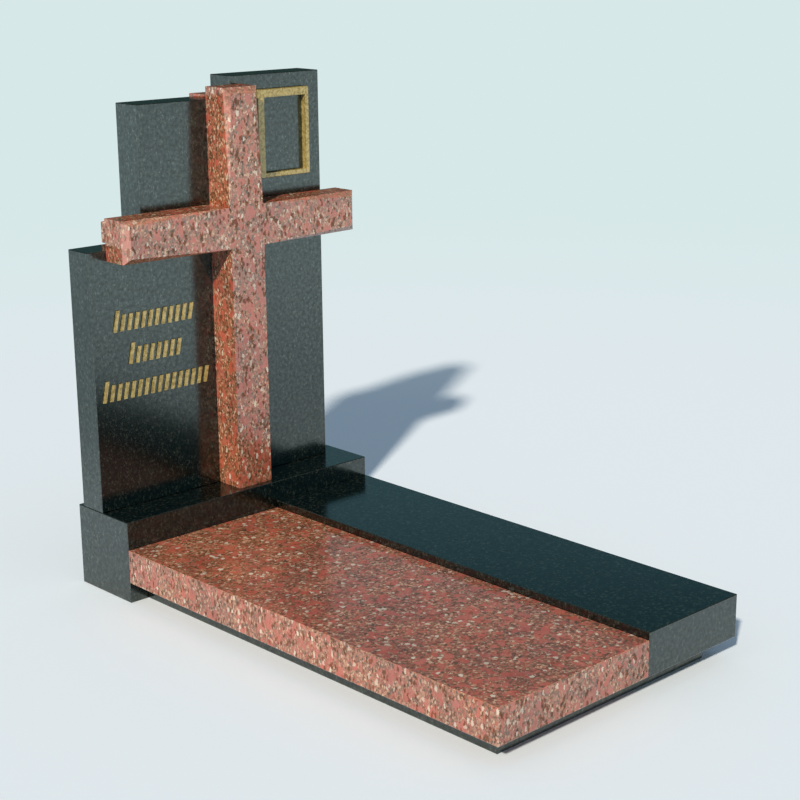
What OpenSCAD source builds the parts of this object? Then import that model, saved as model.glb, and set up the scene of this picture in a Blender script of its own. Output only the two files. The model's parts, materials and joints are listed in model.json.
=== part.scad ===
// Granite cross memorial: a stele with a cross on its plinth, and a flat grave ledger in front.
// X runs across the memorial, Y from the foot of the grave to the back of the stele, Z up.
// The origin is on the ground, at the middle of the memorial's length and width.

/* [Plinth] */
// Width of the plinth, and so of the whole memorial
plinth_w = 750; // [660:10:1000]
// Height of the plinth
plinth_h = 200; // [160:5:300]
// How far the plinth runs on in front of the front cross
front_ledge = 20; // [0:2:60]
// How far the plinth runs on behind the dark slabs
back_ledge = 20; // [0:2:60]

/* [Stele] */
// Height of the whole memorial, to the top of the upper right slab
total_h = 1200; // [1080:10:1500]
// Thickness of the four dark slabs
slab_t = 80; // [50:2:120]
// How far the stele stops short of the plinth's right side
right_gap = 50; // [0:5:100]
// Width of the lower left slab's shoulder, outside the upper left slab
shoulder_w = 150; // [110:5:220]
// How much lower the upper left slab stands than the upper right one
left_drop = 50; // [0:5:120]

/* [Inlaid cross] */
// Width of the inlaid cross's upright and band
inlay_w = 50; // [30:2:80]
// How far the inlaid cross stands out of the slabs' backs
inlay_proud = 20; // [4:1:40]
// Distance from the left side to the middle of both crosses
cross_x = 400; // [330:5:480]
// Height of the middle of both crosses' arms above the ground
arms_z = 850; // [700:5:1020]
// How far the inlaid cross stands above the upper left slab
inlay_rise = 6; // [2:1:30]
// Distance from the left side to the band's left end
band_inset = 105; // [60:5:150]
// How far the band runs out past the slabs' right side
band_reach = 20; // [2:2:50]

/* [Front cross] */
// Width of the front cross's upright
bar_w = 100; // [70:2:130]
// Height of the front cross's arms
arm_h = 100; // [70:2:130]
// Thickness of the front cross
cross_t = 80; // [40:2:120]
// Reach of each arm from the middle of the upright
arm_reach = 350; // [200:10:350]
// How far the front cross stops below the memorial's top
cross_drop = 20; // [0:2:60]
// Width of the bevels at the ends of the three upper arms; they run out to nothing at the crossing
bevel = 15; // [4:1:20]

/* [Ledger] */
// Length of the ledger in front of the plinth
ledger_l = 1200; // [800:10:1800]
// Width of the red ledger slab; the dark strip takes the rest
red_w = 450; // [200:10:600]
// Thickness of the red ledger slab
red_t = 82; // [50:2:110]
// Thickness of the dark ledger strip
strip_t = 100; // [60:2:120]
// Height of the recessed base under the ledger
base_h = 50; // [30:2:80]
// How far the base stands back from the ledger's open sides
base_recess = 50; // [10:5:100]

/* [Picture frame] */
// Clear width on each side of the picture frame, to the front cross and to the slab's side
frame_side_gap = 45; // [10:1:60]
// Clear height above the picture frame
frame_top_gap = 37; // [10:1:60]
// Clear height between the front cross's arm and the picture frame
frame_foot_gap = 49; // [10:1:60]
// Width of the narrow rails, on the right and at the bottom
narrow_rail = 11; // [6:1:20]
// Width of the wide rails, on the left and at the top
wide_rail = 19; // [6:1:26]
// How far the picture frame stands out of the slab
frame_t = 15; // [8:1:25]

/* [Inscription] */
// Height of a stroke
stroke_h = 39; // [24:1:48]
// Height of the tall stroke that opens each row
tall_h = 50; // [30:1:60]
// Width of a stroke
stroke_w = 8; // [4:0.5:10]
// How far the strokes stand out of the slab
stroke_t = 4; // [2:0.5:8]
// Distance from one row down to the next
row_pitch = 82; // [64:1:100]
// Clear width to the left of the longest row
text_margin = 19; // [10:1:40]
// Clear width between the longest row and the front cross
text_gap = 24; // [10:1:40]
// Drop from the front cross's arm to the first row's foot
text_drop = 169; // [70:1:180]

/* [Hidden] */

arris = 1.5;       // eased edge of every granite block
frame_arris = 1;   // eased edge of the picture frame
reach = 10;        // how far a cutting shape runs past what it cuts
stroke_lean = 12;  // degrees that the strokes lean
row_strokes = [12, 8, 16];

black = [0.19, 0.21, 0.21];
red = [0.70, 0.36, 0.31];
gold = [0.72, 0.62, 0.34];

// along X, from the left side
left_x = -plinth_w / 2;
stele_w = plinth_w - right_gap;
seam_l = cross_x - inlay_w / 2;
seam_r = cross_x + inlay_w / 2;
bar_l = cross_x - bar_w / 2;
bar_r = cross_x + bar_w / 2;

// along Y: the ledger's foot, the plinth's front, and the stele's face and back
plinth_d = front_ledge + cross_t + slab_t + back_ledge;
foot_y = -(ledger_l + plinth_d) / 2;
plinth_y = foot_y + ledger_l;
face_y = plinth_y + front_ledge + cross_t;
back_y = face_y + slab_t;

// along Z
band_z = arms_z - inlay_w / 2;
band_top = arms_z + inlay_w / 2;
arm_z = arms_z - arm_h / 2;
left_top = total_h - left_drop;

// A block with every edge eased, its low corner at the origin
module eased_block(size, ease) {
    intersection() {
        linear_extrude(size.z) eased_outline(size.x, size.y, ease);
        rotate([90, 0, 90]) linear_extrude(size.x) eased_outline(size.y, size.z, ease);
        translate([0, size.y, 0]) rotate([90, 0, 0]) linear_extrude(size.y) eased_outline(size.x, size.z, ease);
    }
}

module eased_outline(w, h, ease) {
    polygon([
        [ease, 0], [w - ease, 0], [w, ease], [w, h - ease],
        [w - ease, h], [ease, h], [0, h - ease], [0, ease]
    ]);
}

// A granite block between two corners, with X counted from the memorial's left side
module block(low, high) {
    translate([left_x + low.x, low.y, low.z]) eased_block(high - low, arris);
}

module plinth() {
    color(black) block([0, plinth_y, 0], [plinth_w, plinth_y + plinth_d, plinth_h]);
}

// The stele's dark slabs stand in the four quarters round the inlaid cross
module slab(x0, x1, z0, z1) {
    color(black) block([x0, face_y, z0], [x1, back_y, z1]);
}

module lower_left_slab() {
    slab(0, seam_l, plinth_h, band_z);
}

module upper_left_slab() {
    slab(shoulder_w, seam_l, band_top, left_top);
}

module lower_right_slab() {
    slab(seam_r, stele_w, plinth_h, band_z);
}

module upper_right_slab() {
    slab(seam_r, stele_w, band_top, total_h);
}

module inlaid_cross() {
    proud_y = back_y + inlay_proud;
    color(red) union() {
        block([seam_l, face_y, plinth_h], [seam_r, proud_y, left_top + inlay_rise]);
        block([band_inset, face_y, band_z], [stele_w + band_reach, proud_y, band_top]);
    }
}

// A beam w wide that stands up from the origin to l and out to -Y, its back's middle on the Z axis.
// Its face is bevelled across its end, and along both sides from start, where the bevels begin, to l,
// where they are an arris narrower than the end's bevel, which so meets the arm's corners cleanly.
module bevelled_arm(w, start, l) {
    taper = atan((bevel - arris) / (sqrt(2) * (l - start)));
    difference() {
        translate([-w / 2, -cross_t, 0]) cube([w, cross_t, l]);
        translate([0, -cross_t, l - bevel]) rotate([45, 0, 0])
            translate([-w, -w, 0]) cube([2 * w, 2 * w, w]);
        for (side = [-1, 1])
            translate([side * w / 2, -cross_t, start]) rotate([0, -taper, 45 * side - 90])
                translate([0, -w, -w]) cube([w, 2 * w, l + 2 * w]);
    }
}

module front_cross() {
    color(red) translate([left_x + cross_x, face_y, arms_z]) union() {
        translate([-bar_w / 2, -cross_t, plinth_h - arms_z]) cube([bar_w, cross_t, arms_z - plinth_h]);
        bevelled_arm(bar_w, arm_h / 2, total_h - cross_drop - arms_z);
        rotate([0, 90, 0]) bevelled_arm(arm_h, bar_w / 2, arm_reach);
        rotate([0, -90, 0]) bevelled_arm(arm_h, bar_w / 2, arm_reach);
    }
}

module red_ledger() {
    color(red) block([0, foot_y, base_h], [red_w, plinth_y, base_h + red_t]);
}

module dark_ledger() {
    color(black) block([red_w, foot_y, base_h], [plinth_w, plinth_y, base_h + strip_t]);
}

module ledger_base() {
    color(black) block([base_recess, foot_y + base_recess, 0], [plinth_w - base_recess, plinth_y, base_h]);
}

// Hollow frame for a portrait, on the upper right slab's face
module picture_frame() {
    low_x = bar_r + frame_side_gap;
    low_z = arm_z + arm_h + frame_foot_gap;
    w = stele_w - frame_side_gap - low_x;
    h = total_h - frame_top_gap - low_z;
    color(gold) translate([left_x + low_x, face_y - frame_t, low_z]) difference() {
        eased_block([w, frame_t, h], frame_arris);
        translate([wide_rail, -reach, narrow_rail])
            cube([w - wide_rail - narrow_rail, frame_t + 2 * reach, h - wide_rail - narrow_rail]);
    }
}

// One leaning raised stroke, its foot's left corner at the origin and its back on the slab
module stroke(h) {
    slant = h * tan(stroke_lean);
    rotate([90, 0, 0]) linear_extrude(stroke_t) polygon([[0, 0], [stroke_w, 0], [stroke_w + slant, h], [slant, h]]);
}

// A row of even strokes. The longest row fills the face beside the front cross, and the others
// are centred over it.
module inscription_row(row) {
    end_w = stroke_w + stroke_h * tan(stroke_lean);
    text_w = bar_l - text_gap - text_margin;
    pitch = (text_w - end_w) / (max(row_strokes) - 1);
    row_w = (row_strokes[row] - 1) * pitch + end_w;
    color(gold)
        translate([left_x + text_margin + (text_w - row_w) / 2, face_y, arm_z - text_drop - row * row_pitch])
        for (i = [0 : row_strokes[row] - 1])
            translate([i * pitch, 0, 0]) stroke(i > 0 ? stroke_h : tall_h);
}

plinth();
lower_left_slab();
upper_left_slab();
lower_right_slab();
upper_right_slab();
inlaid_cross();
front_cross();
red_ledger();
dark_ledger();
ledger_base();
picture_frame();
inscription_row(0);  // inscription_row_1
inscription_row(1);  // inscription_row_2
inscription_row(2);  // inscription_row_3
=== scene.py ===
import json
import math
import bpy
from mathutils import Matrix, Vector

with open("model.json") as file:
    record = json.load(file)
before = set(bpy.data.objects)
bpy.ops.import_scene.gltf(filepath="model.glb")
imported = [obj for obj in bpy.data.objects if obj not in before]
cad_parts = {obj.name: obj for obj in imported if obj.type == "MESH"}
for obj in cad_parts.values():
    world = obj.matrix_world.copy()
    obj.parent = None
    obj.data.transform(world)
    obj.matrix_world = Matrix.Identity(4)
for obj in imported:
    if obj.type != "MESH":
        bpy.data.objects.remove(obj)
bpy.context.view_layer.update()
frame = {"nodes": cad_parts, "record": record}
print("frame loaded:", len(frame["nodes"]), "nodes")

# Camera
mainView = {
    "azimuth": -45.0,            # degrees round from the front, to the left
    "elevation": 15.63,          # degrees above level
    "aim": (0.813, 0.600, 0.2154),
    "distance": 4.887,
    "lens": 77.3,
    "shift": (-0.070, 0.015),    # the memorial stands low and to the left
    "clipEnd": 200.0,
}


def makeCamera(view):
    turn, tilt = math.radians(view["azimuth"]), math.radians(view["elevation"])
    back = Vector((math.sin(turn) * math.cos(tilt), -math.cos(turn) * math.cos(tilt), math.sin(tilt)))
    bpy.ops.object.camera_add(location=Vector(view["aim"]) + back * view["distance"],
                              rotation=(math.pi / 2 - tilt, 0, turn))
    camera = bpy.context.object
    camera.name = "camera"
    camera.data.lens = view["lens"]
    camera.data.shift_x, camera.data.shift_y = view["shift"]
    camera.data.clip_end = view["clipEnd"]
    bpy.context.scene.camera = camera


makeCamera(mainView)
print("camera made")


# A Wire is one output of a node, and Python's operators on it add the Math nodes
class Wire:
    def __init__(self, shader, node, output):
        self.shader = shader
        self.node = node
        self.output = output

    def other(self, output):
        return Wire(self.shader, self.node, output)

    def maths(self, operation, first, second):
        return self.shader.add("Math", {"operation": operation}, [first, second])

    def __add__(self, value):
        return self.maths("ADD", self, value)

    def __sub__(self, value):
        return self.maths("SUBTRACT", self, value)

    def __rsub__(self, value):
        return self.maths("SUBTRACT", value, self)

    def __mul__(self, value):
        return self.maths("MULTIPLY", self, value)

    def __gt__(self, value):
        return self.maths("GREATER_THAN", self, value)

    def __lt__(self, value):
        return self.maths("LESS_THAN", self, value)

    def __abs__(self):
        return self.maths("ABSOLUTE", self, 0.0)

    __radd__ = __add__
    __rmul__ = __mul__


# Places of a Mix node's share, of its two colours and of the colour that it gives
mixShare, mixFirst, mixSecond, mixResult = 0, 6, 7, 2


# A Shader adds nodes to one tree: first a node's settings, then its sockets by name or place
class Shader:
    def __init__(self, tree):
        self.tree = tree
        tree.nodes.clear()

    def add(self, kind, settings, sockets, output=0):
        made = self.tree.nodes.new("ShaderNode" + kind)
        for name, value in settings.items():
            if name == "stops":
                setStops(made.color_ramp, value)
            elif name == "steps":
                made.color_ramp.interpolation = "CONSTANT" if value else "LINEAR"
            else:
                setattr(made, name, value)
        pairs = sockets.items() if isinstance(sockets, dict) else enumerate(sockets)
        for key, value in pairs:
            if isinstance(value, Wire):
                self.tree.links.new(value.node.outputs[value.output], made.inputs[key])
            elif made.inputs[key].type == "RGBA":
                made.inputs[key].default_value = (*value, 1.0)
            else:
                made.inputs[key].default_value = value
        return Wire(self, made, output)

    def mix(self, share, first, second, blend="MIX"):
        return self.add("Mix", {"data_type": "RGBA", "blend_type": blend},
                        {mixShare: share, mixFirst: first, mixSecond: second}, mixResult)

    def ramp(self, share, stops, steps=False):
        return self.add("ValToRGB", {"stops": stops, "steps": steps}, [share])

    # 0 below low and 1 above high, with a smooth run between
    def step(self, value, low, high):
        return self.add("MapRange", {"interpolation_type": "SMOOTHSTEP"},
                        {"Value": value, "From Min": low, "From Max": high})

    def noise(self, place, scale, detail, roughness=0.5, output="Fac"):
        return self.add("TexNoise", {}, {"Vector": place, "Scale": scale, "Detail": detail,
                                         "Roughness": roughness}, output)

    def vector(self, operation, first, second):
        return self.add("VectorMath", {"operation": operation}, [first, second])

    def parts(self, value, name):
        return self.add("SeparateXYZ", {}, [value], name)


def setStops(ramp, stops):
    while len(ramp.elements) < len(stops):
        ramp.elements.new(1.0)
    for element, (place, colour) in zip(ramp.elements, stops):
        element.position = place
        element.color = (*colour, 1.0)


def newMaterial(name):
    material = bpy.data.materials.new(name)
    material.use_nodes = True
    return material, Shader(material.node_tree)


def finishSurface(shader, surface):
    shader.add("OutputMaterial", {"is_active_output": True}, {"Surface": surface})


# Polished stone mirrors less where its polish is dull, by a share from 0 to 1
def finishStone(shader, sockets, dullShare, dullIor):
    polished = shader.add("BsdfPrincipled", {}, sockets)
    dull = shader.add("BsdfPrincipled", {}, {**sockets, "IOR": dullIor})
    finishSurface(shader, shader.add("MixShader", {}, [dullShare, polished, dull]))


# What both stones' grains share
grainLay = {
    "unevenScale": 1.2,          # waves of unevenness to one grain's width
    "unevenDetail": 2.0,
    "levelOver": 0.72,           # a level face's normal has more than this of Z
    "bevelUnder": 0.9,           # a bevel's normal has less than this of every axis
}


# 1 on the level faces
def levelMask(shader):
    facing = shader.add("TexCoord", {}, [], "Normal")
    return abs(shader.parts(facing, "Z")) > grainLay["levelOver"]


# 1 on faces that look along no axis, which are the bevels and the arrises
def bevelMask(shader):
    facing = shader.add("TexCoord", {}, [], "Normal")
    facing = shader.add("VectorMath", {"operation": "ABSOLUTE"}, [facing])
    widest = shader.parts(facing, "X")
    for name in ("Y", "Z"):
        widest = widest.maths("MAXIMUM", widest, shader.parts(facing, name))
    return widest < grainLay["bevelUnder"]


# Where a grain lies: a place in the stone measured in grains. On the upright faces the grains
# stand taller than they are wide, and on the level ones they lie even.
def grainPlace(shader, grain):
    place = shader.add("TexCoord", {}, [], "Object")
    noise = shader.noise(place, grainLay["unevenScale"] / grain["wide"], grainLay["unevenDetail"],
                         output="Color")
    drift = shader.vector("SUBTRACT", noise, (0.5, 0.5, 0.5))    # noise runs evenly to both sides of 0.5
    drift = shader.vector("MULTIPLY", drift, (grain["uneven"],) * 3)
    isLevel = levelMask(shader)
    perWide, perTall, perLevel = 1 / grain["wide"], 1 / grain["tall"], 1 / grain["level"]
    across = perWide + isLevel * (perLevel - perWide)
    upwards = perTall + isLevel * (perLevel - perTall)
    perMetre = shader.add("CombineXYZ", {}, [across, across, upwards])
    return shader.vector("ADD", shader.vector("MULTIPLY", place, perMetre), drift)


# Every grain has its own random colour, whose parts choose what it is made of
def grains(shader, grain):
    return shader.add("TexVoronoi", {}, {"Vector": grainPlace(shader, grain), "Scale": 1.0}, "Color")


# How much a grain covers what lies under it: from the least share to the most, by its own chance
def coverShare(cover, chance):
    least, most = cover
    return least + (most - least) * chance


# Red granite: fine mottled ground, coral crystals, brown and white flecks, and broad drifts of shade
redGranite = {
    "ground": {"wide": 0.0036, "tall": 0.0052, "level": 0.0046, "uneven": 1.1},
    "crystal": {"wide": 0.0125, "tall": 0.0210, "level": 0.0170, "uneven": 0.60},
    "fleck": {"wide": 0.0052, "tall": 0.0100, "level": 0.0078, "uneven": 0.80},
    "groundColours": [
        (0.00, (0.140, 0.070, 0.028)), (0.13, (0.270, 0.115, 0.048)), (0.30, (0.430, 0.110, 0.048)),
        (0.46, (0.530, 0.135, 0.064)), (0.62, (0.430, 0.195, 0.100)), (0.78, (0.590, 0.280, 0.150)),
        (0.92, (0.740, 0.470, 0.280)),
    ],
    "coral": (0.600, 0.110, 0.052),
    "rose": (0.620, 0.165, 0.100),
    "coralShare": 0.25,
    "coralCover": (0.55, 0.95),
    "brown": (0.115, 0.056, 0.024),
    "brownShare": 0.16,
    "brownCover": (0.35, 0.85),
    "brownDull": 0.85,                      # the brown flecks take a poor polish
    "white": (0.860, 0.740, 0.540),
    "whiteShare": 0.030,
    "whiteCover": (0.60, 1.00),
    "driftScale": 9.0,
    "driftDetail": 3.0,
    "driftFrom": (0.40, 0.66),
    "driftShade": (0.80, 0.80, 0.84),
    "paintedSkyCast": (0.38, 0.24, 0.34),            # painted sky light: a cooler cast on the level faces, away from the stele that shades the tops near it
    "paintedSkyCastShare": 0.08,
    "paintedSkyCastFrom": (-0.40, 0.05),
    "bevelHighlight": (0.84, 0.54, 0.42),            # painted highlight: the bevels and arrises are lighter, though polished like the rest
    "bevelHighlightShare": 0.20,
    "roughness": 0.17,
    "ior": 2.00,
    "dullIor": 1.25,
}


def makeRedGranite(look):
    material, shader = newMaterial("redGranitePolished")
    ground = grains(shader, look["ground"])
    colour = shader.ramp(shader.parts(ground, "X"), look["groundColours"], True)
    crystal = grains(shader, look["crystal"])
    coral = shader.mix(shader.parts(crystal, "Y"), look["coral"], look["rose"])
    isCoral = shader.parts(crystal, "X") < look["coralShare"]
    share = isCoral * coverShare(look["coralCover"], shader.parts(crystal, "Z"))
    colour = shader.mix(share, colour, coral)
    fleck = grains(shader, look["fleck"])
    chance = shader.parts(fleck, "X")
    isBrown = chance < look["brownShare"]
    share = isBrown * coverShare(look["brownCover"], shader.parts(ground, "Y"))
    colour = shader.mix(share, colour, look["brown"])
    isWhite = chance > 1 - look["whiteShare"]
    share = isWhite * coverShare(look["whiteCover"], shader.parts(fleck, "Y"))
    colour = shader.mix(share, colour, look["white"])
    place = shader.add("TexCoord", {}, [], "Object")
    drift = shader.noise(place, look["driftScale"], look["driftDetail"])
    shade = shader.mix(shader.step(drift, *look["driftFrom"]), (1.0, 1.0, 1.0), look["driftShade"])
    colour = shader.mix(1.0, colour, shade, "MULTIPLY")
    # Painted sky light on the level faces, fading out towards the stele
    isNear = shader.step(0 - shader.parts(place, "Y"), *look["paintedSkyCastFrom"])
    colour = shader.mix(levelMask(shader) * isNear * look["paintedSkyCastShare"], colour, look["paintedSkyCast"])
    # Painted highlight on the bevels and arrises
    colour = shader.mix(bevelMask(shader) * look["bevelHighlightShare"], colour, look["bevelHighlight"])
    finishStone(shader, {"Base Color": colour, "Roughness": look["roughness"], "IOR": look["ior"]},
                isBrown * look["brownDull"], look["dullIor"])
    return material


# Dark granite: near black, with dim grains and soft grey-green flecks that take the better polish
darkGranite = {
    "grain": {"wide": 0.0042, "tall": 0.0060, "level": 0.0052, "uneven": 0.7},
    "fleck": {"wide": 0.0058, "tall": 0.0090, "level": 0.0074, "uneven": 1.1},
    "grainColours": [
        (0.00, (0.0004, 0.0010, 0.0007)), (0.55, (0.0016, 0.0032, 0.0024)),
        (0.75, (0.0045, 0.0070, 0.0050)), (0.88, (0.0110, 0.0150, 0.0105)),
        (0.96, (0.0240, 0.0290, 0.0210)),
    ],
    "pale": (0.040, 0.043, 0.027),
    "paleShare": 0.32,
    "paleCover": (0.30, 1.00),
    "paleFade": (0.10, 0.50),              # in grains from a fleck's middle, where it fades
    "paleGloss": 0.55,
    "cloudScale": 110.0,                   # soft patches where the polish is better
    "cloudDetail": 6.0,
    "cloudRoughness": 0.65,
    "cloudFrom": (0.34, 0.70),
    "cloudGloss": 0.38,
    "bevelHighlight": (0.100, 0.115, 0.105),        # painted highlight: the bevels and arrises are a lighter grey-green, though polished like the rest
    "bevelHighlightShare": 0.15,
    "roughness": 0.18,
    "ior": 2.70,
    "dullIor": 1.72,
    "sheenTint": (0.86, 1.0, 0.96),        # colour of its reflections
}


def makeDarkGranite(look):
    material, shader = newMaterial("darkGranitePolished")
    grain = grains(shader, look["grain"])
    colour = shader.ramp(shader.parts(grain, "X"), look["grainColours"], True)
    fleck = grains(shader, look["fleck"])
    soft = 1 - shader.step(fleck.other("Distance"), *look["paleFade"])
    isPale = shader.parts(fleck, "X") < look["paleShare"]
    pale = isPale * soft * coverShare(look["paleCover"], shader.parts(fleck, "Y"))
    colour = shader.mix(pale, colour, look["pale"])
    # Painted highlight on the bevels and arrises
    colour = shader.mix(bevelMask(shader) * look["bevelHighlightShare"], colour, look["bevelHighlight"])
    place = shader.add("TexCoord", {}, [], "Object")
    noise = shader.noise(place, look["cloudScale"], look["cloudDetail"], look["cloudRoughness"])
    cloud = shader.step(noise, *look["cloudFrom"])
    dull = 1 - pale * look["paleGloss"] - cloud * look["cloudGloss"]
    finishStone(shader, {"Base Color": colour, "Roughness": look["roughness"], "IOR": look["ior"],
                         "Specular Tint": look["sheenTint"]}, dull, look["dullIor"])
    return material


# Gilding: bright and dull patches of gold leaf over an uneven skin
gilding = {
    "pale": (0.64, 0.49, 0.165),
    "deep": (0.30, 0.20, 0.032),
    "paleFrom": (0.36, 0.60),
    "patchScale": 130.0,
    "patchDetail": 3.0,
    "patchShare": 0.6,                     # and the skin has the rest
    "skinScale": 420.0,
    "skinDetail": 2.0,
    "bumpStrength": 0.5,
    "bumpHeight": 0.0012,
    "roughness": 0.30,
    "ior": 2.00,
    "metallic": 0.25,
}


def makeGilding(look):
    material, shader = newMaterial("gildedMetal")
    place = shader.add("TexCoord", {}, [], "Object")
    patch = shader.noise(place, look["patchScale"], look["patchDetail"])
    skin = shader.noise(place, look["skinScale"], look["skinDetail"])
    height = patch * look["patchShare"] + skin * (1 - look["patchShare"])
    colour = shader.mix(shader.step(height, *look["paleFrom"]), look["deep"], look["pale"])
    bump = shader.add("Bump", {}, {"Strength": look["bumpStrength"], "Distance": look["bumpHeight"],
                                   "Height": height})
    leaf = shader.add("BsdfPrincipled", {}, {"Base Color": colour, "Roughness": look["roughness"],
                                             "IOR": look["ior"], "Metallic": look["metallic"],
                                             "Normal": bump})
    finishSurface(shader, leaf)
    return material


finishOf = {
    "dark_granite": makeDarkGranite(darkGranite),
    "red_granite": makeRedGranite(redGranite),
    "gilt": makeGilding(gilding),
}
for part in frame["record"]["subparts"]:
    node = frame["nodes"][part["node"]]
    node.data.materials.clear()
    node.data.materials.append(finishOf[part["material_slot"]])
print("materials made")

# Floor and light
studio = {
    "floorSize": 80.0,
    "floorDrop": 0.0004,                   # keeps the floor clear of the memorial's underside
    "floorColour": (0.925, 1.0, 1.0),
    "bounceColour": (0.45, 0.47, 0.48),    # the floor's colour as it lights the memorial
    "backdrop": (0.680, 0.807, 0.810),
    "backdropFrom": (5.0, 16.0),           # the floor runs into the backdrop between these distances
    "backdropSeenFrom": (1.7, 6.5),        # and sooner where the camera sees it
    "skyLight": (0.19, 0.25, 0.33),
    "skyMirrored": [                       # by the sine of the height above the horizon
        (0.00, (0.020, 0.045, 0.036)), (0.12, (0.022, 0.050, 0.042)), (0.20, (0.035, 0.080, 0.070)),
        (0.28, (0.140, 0.290, 0.350)), (0.33, (0.140, 0.290, 0.355)), (0.355, (0.070, 0.175, 0.215)),
        (0.39, (0.022, 0.090, 0.105)), (0.46, (0.018, 0.055, 0.060)), (0.65, (0.012, 0.034, 0.038)),
    ],
    "mirroredAhead": (1.03, 1.18, 1.21),   # the floor that polished stone mirrors, ahead of the memorial
    "aheadFrom": (0.3, 2.8),
    "mirroredBehind": (0.56, 0.67, 0.70),  # behind it
    "behindFrom": (0.5, 2.0),
    "farBehind": (0.80, 0.96, 1.00),       # and farther behind it
    "farBehindFrom": (2.2, 8.0),
    "sunColour": (1.0, 0.92, 0.85),
    "sunStrength": 3.4,
    "sunHeight": 34.0,                     # degrees above level
    "sunHeading": 32.0,                    # degrees from +X towards +Y, the way the light travels
    "sunWidth": 3.0,                       # degrees across its disc, which soften the shadows
}


def makeFloor(look):
    bpy.ops.mesh.primitive_plane_add(size=look["floorSize"], location=(0, 0, -look["floorDrop"]))
    floor = bpy.context.object
    floor.name = "floor"
    bpy.ops.object.transform_apply(location=True, rotation=False, scale=False)
    material, shader = newMaterial("paleFloor")
    isCamera = shader.add("LightPath", {}, [], "Is Camera Ray")
    isGlossy = isCamera.other("Is Glossy Ray")
    isSeen = isCamera.maths("MAXIMUM", isCamera, isGlossy)
    colour = shader.mix(isSeen, look["bounceColour"], look["floorColour"])
    matt = shader.add("BsdfDiffuse", {}, {"Color": colour})
    place = shader.add("TexCoord", {}, [], "Object")
    away = shader.add("VectorMath", {"operation": "LENGTH"}, [place], "Value")
    back = shader.parts(place, "Y")
    isAhead = shader.step(0 - back, *look["aheadFrom"])
    isBehind = shader.step(back, *look["behindFrom"])
    isFar = shader.step(back, *look["farBehindFrom"])
    behind = shader.mix(isFar, look["mirroredBehind"], look["farBehind"])
    mirrored = shader.mix(isBehind, look["mirroredAhead"], behind)
    glow = shader.add("Emission", {}, {"Color": shader.mix(isGlossy, look["backdrop"], mirrored)})
    near, far = look["backdropFrom"]
    seenNear, seenFar = look["backdropSeenFrom"]
    share = shader.step(away, near + isCamera * (seenNear - near), far + isCamera * (seenFar - far))
    share = share + isGlossy * (isAhead + isBehind - share)
    finishSurface(shader, shader.add("MixShader", {}, [share, matt, glow]))
    floor.data.materials.append(material)


def makeWorld(look):
    world = bpy.data.worlds.new("studioWorld")
    world.use_nodes = True
    bpy.context.scene.world = world
    shader = Shader(world.node_tree)
    isCamera = shader.add("LightPath", {}, [], "Is Camera Ray")
    height = shader.parts(shader.add("TexCoord", {}, [], "Generated"), "Z")
    mirrored = shader.ramp(height, look["skyMirrored"])
    colour = shader.mix(isCamera.other("Is Glossy Ray"), look["skyLight"], mirrored)
    colour = shader.mix(isCamera, colour, look["backdrop"])
    light = shader.add("Background", {}, {"Color": colour, "Strength": 1.0})
    shader.add("OutputWorld", {}, {"Surface": light})


def makeSun(look):
    turn = math.radians(look["sunHeading"] - 90)
    bpy.ops.object.light_add(type="SUN", rotation=(math.radians(90 - look["sunHeight"]), 0, turn))
    sun = bpy.context.object
    sun.name = "sun"
    sun.data.energy = look["sunStrength"]
    sun.data.color = look["sunColour"]
    sun.data.angle = math.radians(look["sunWidth"])


makeFloor(studio)
makeWorld(studio)
makeSun(studio)
bpy.context.scene.view_settings.view_transform = "Standard"
print("studio made")
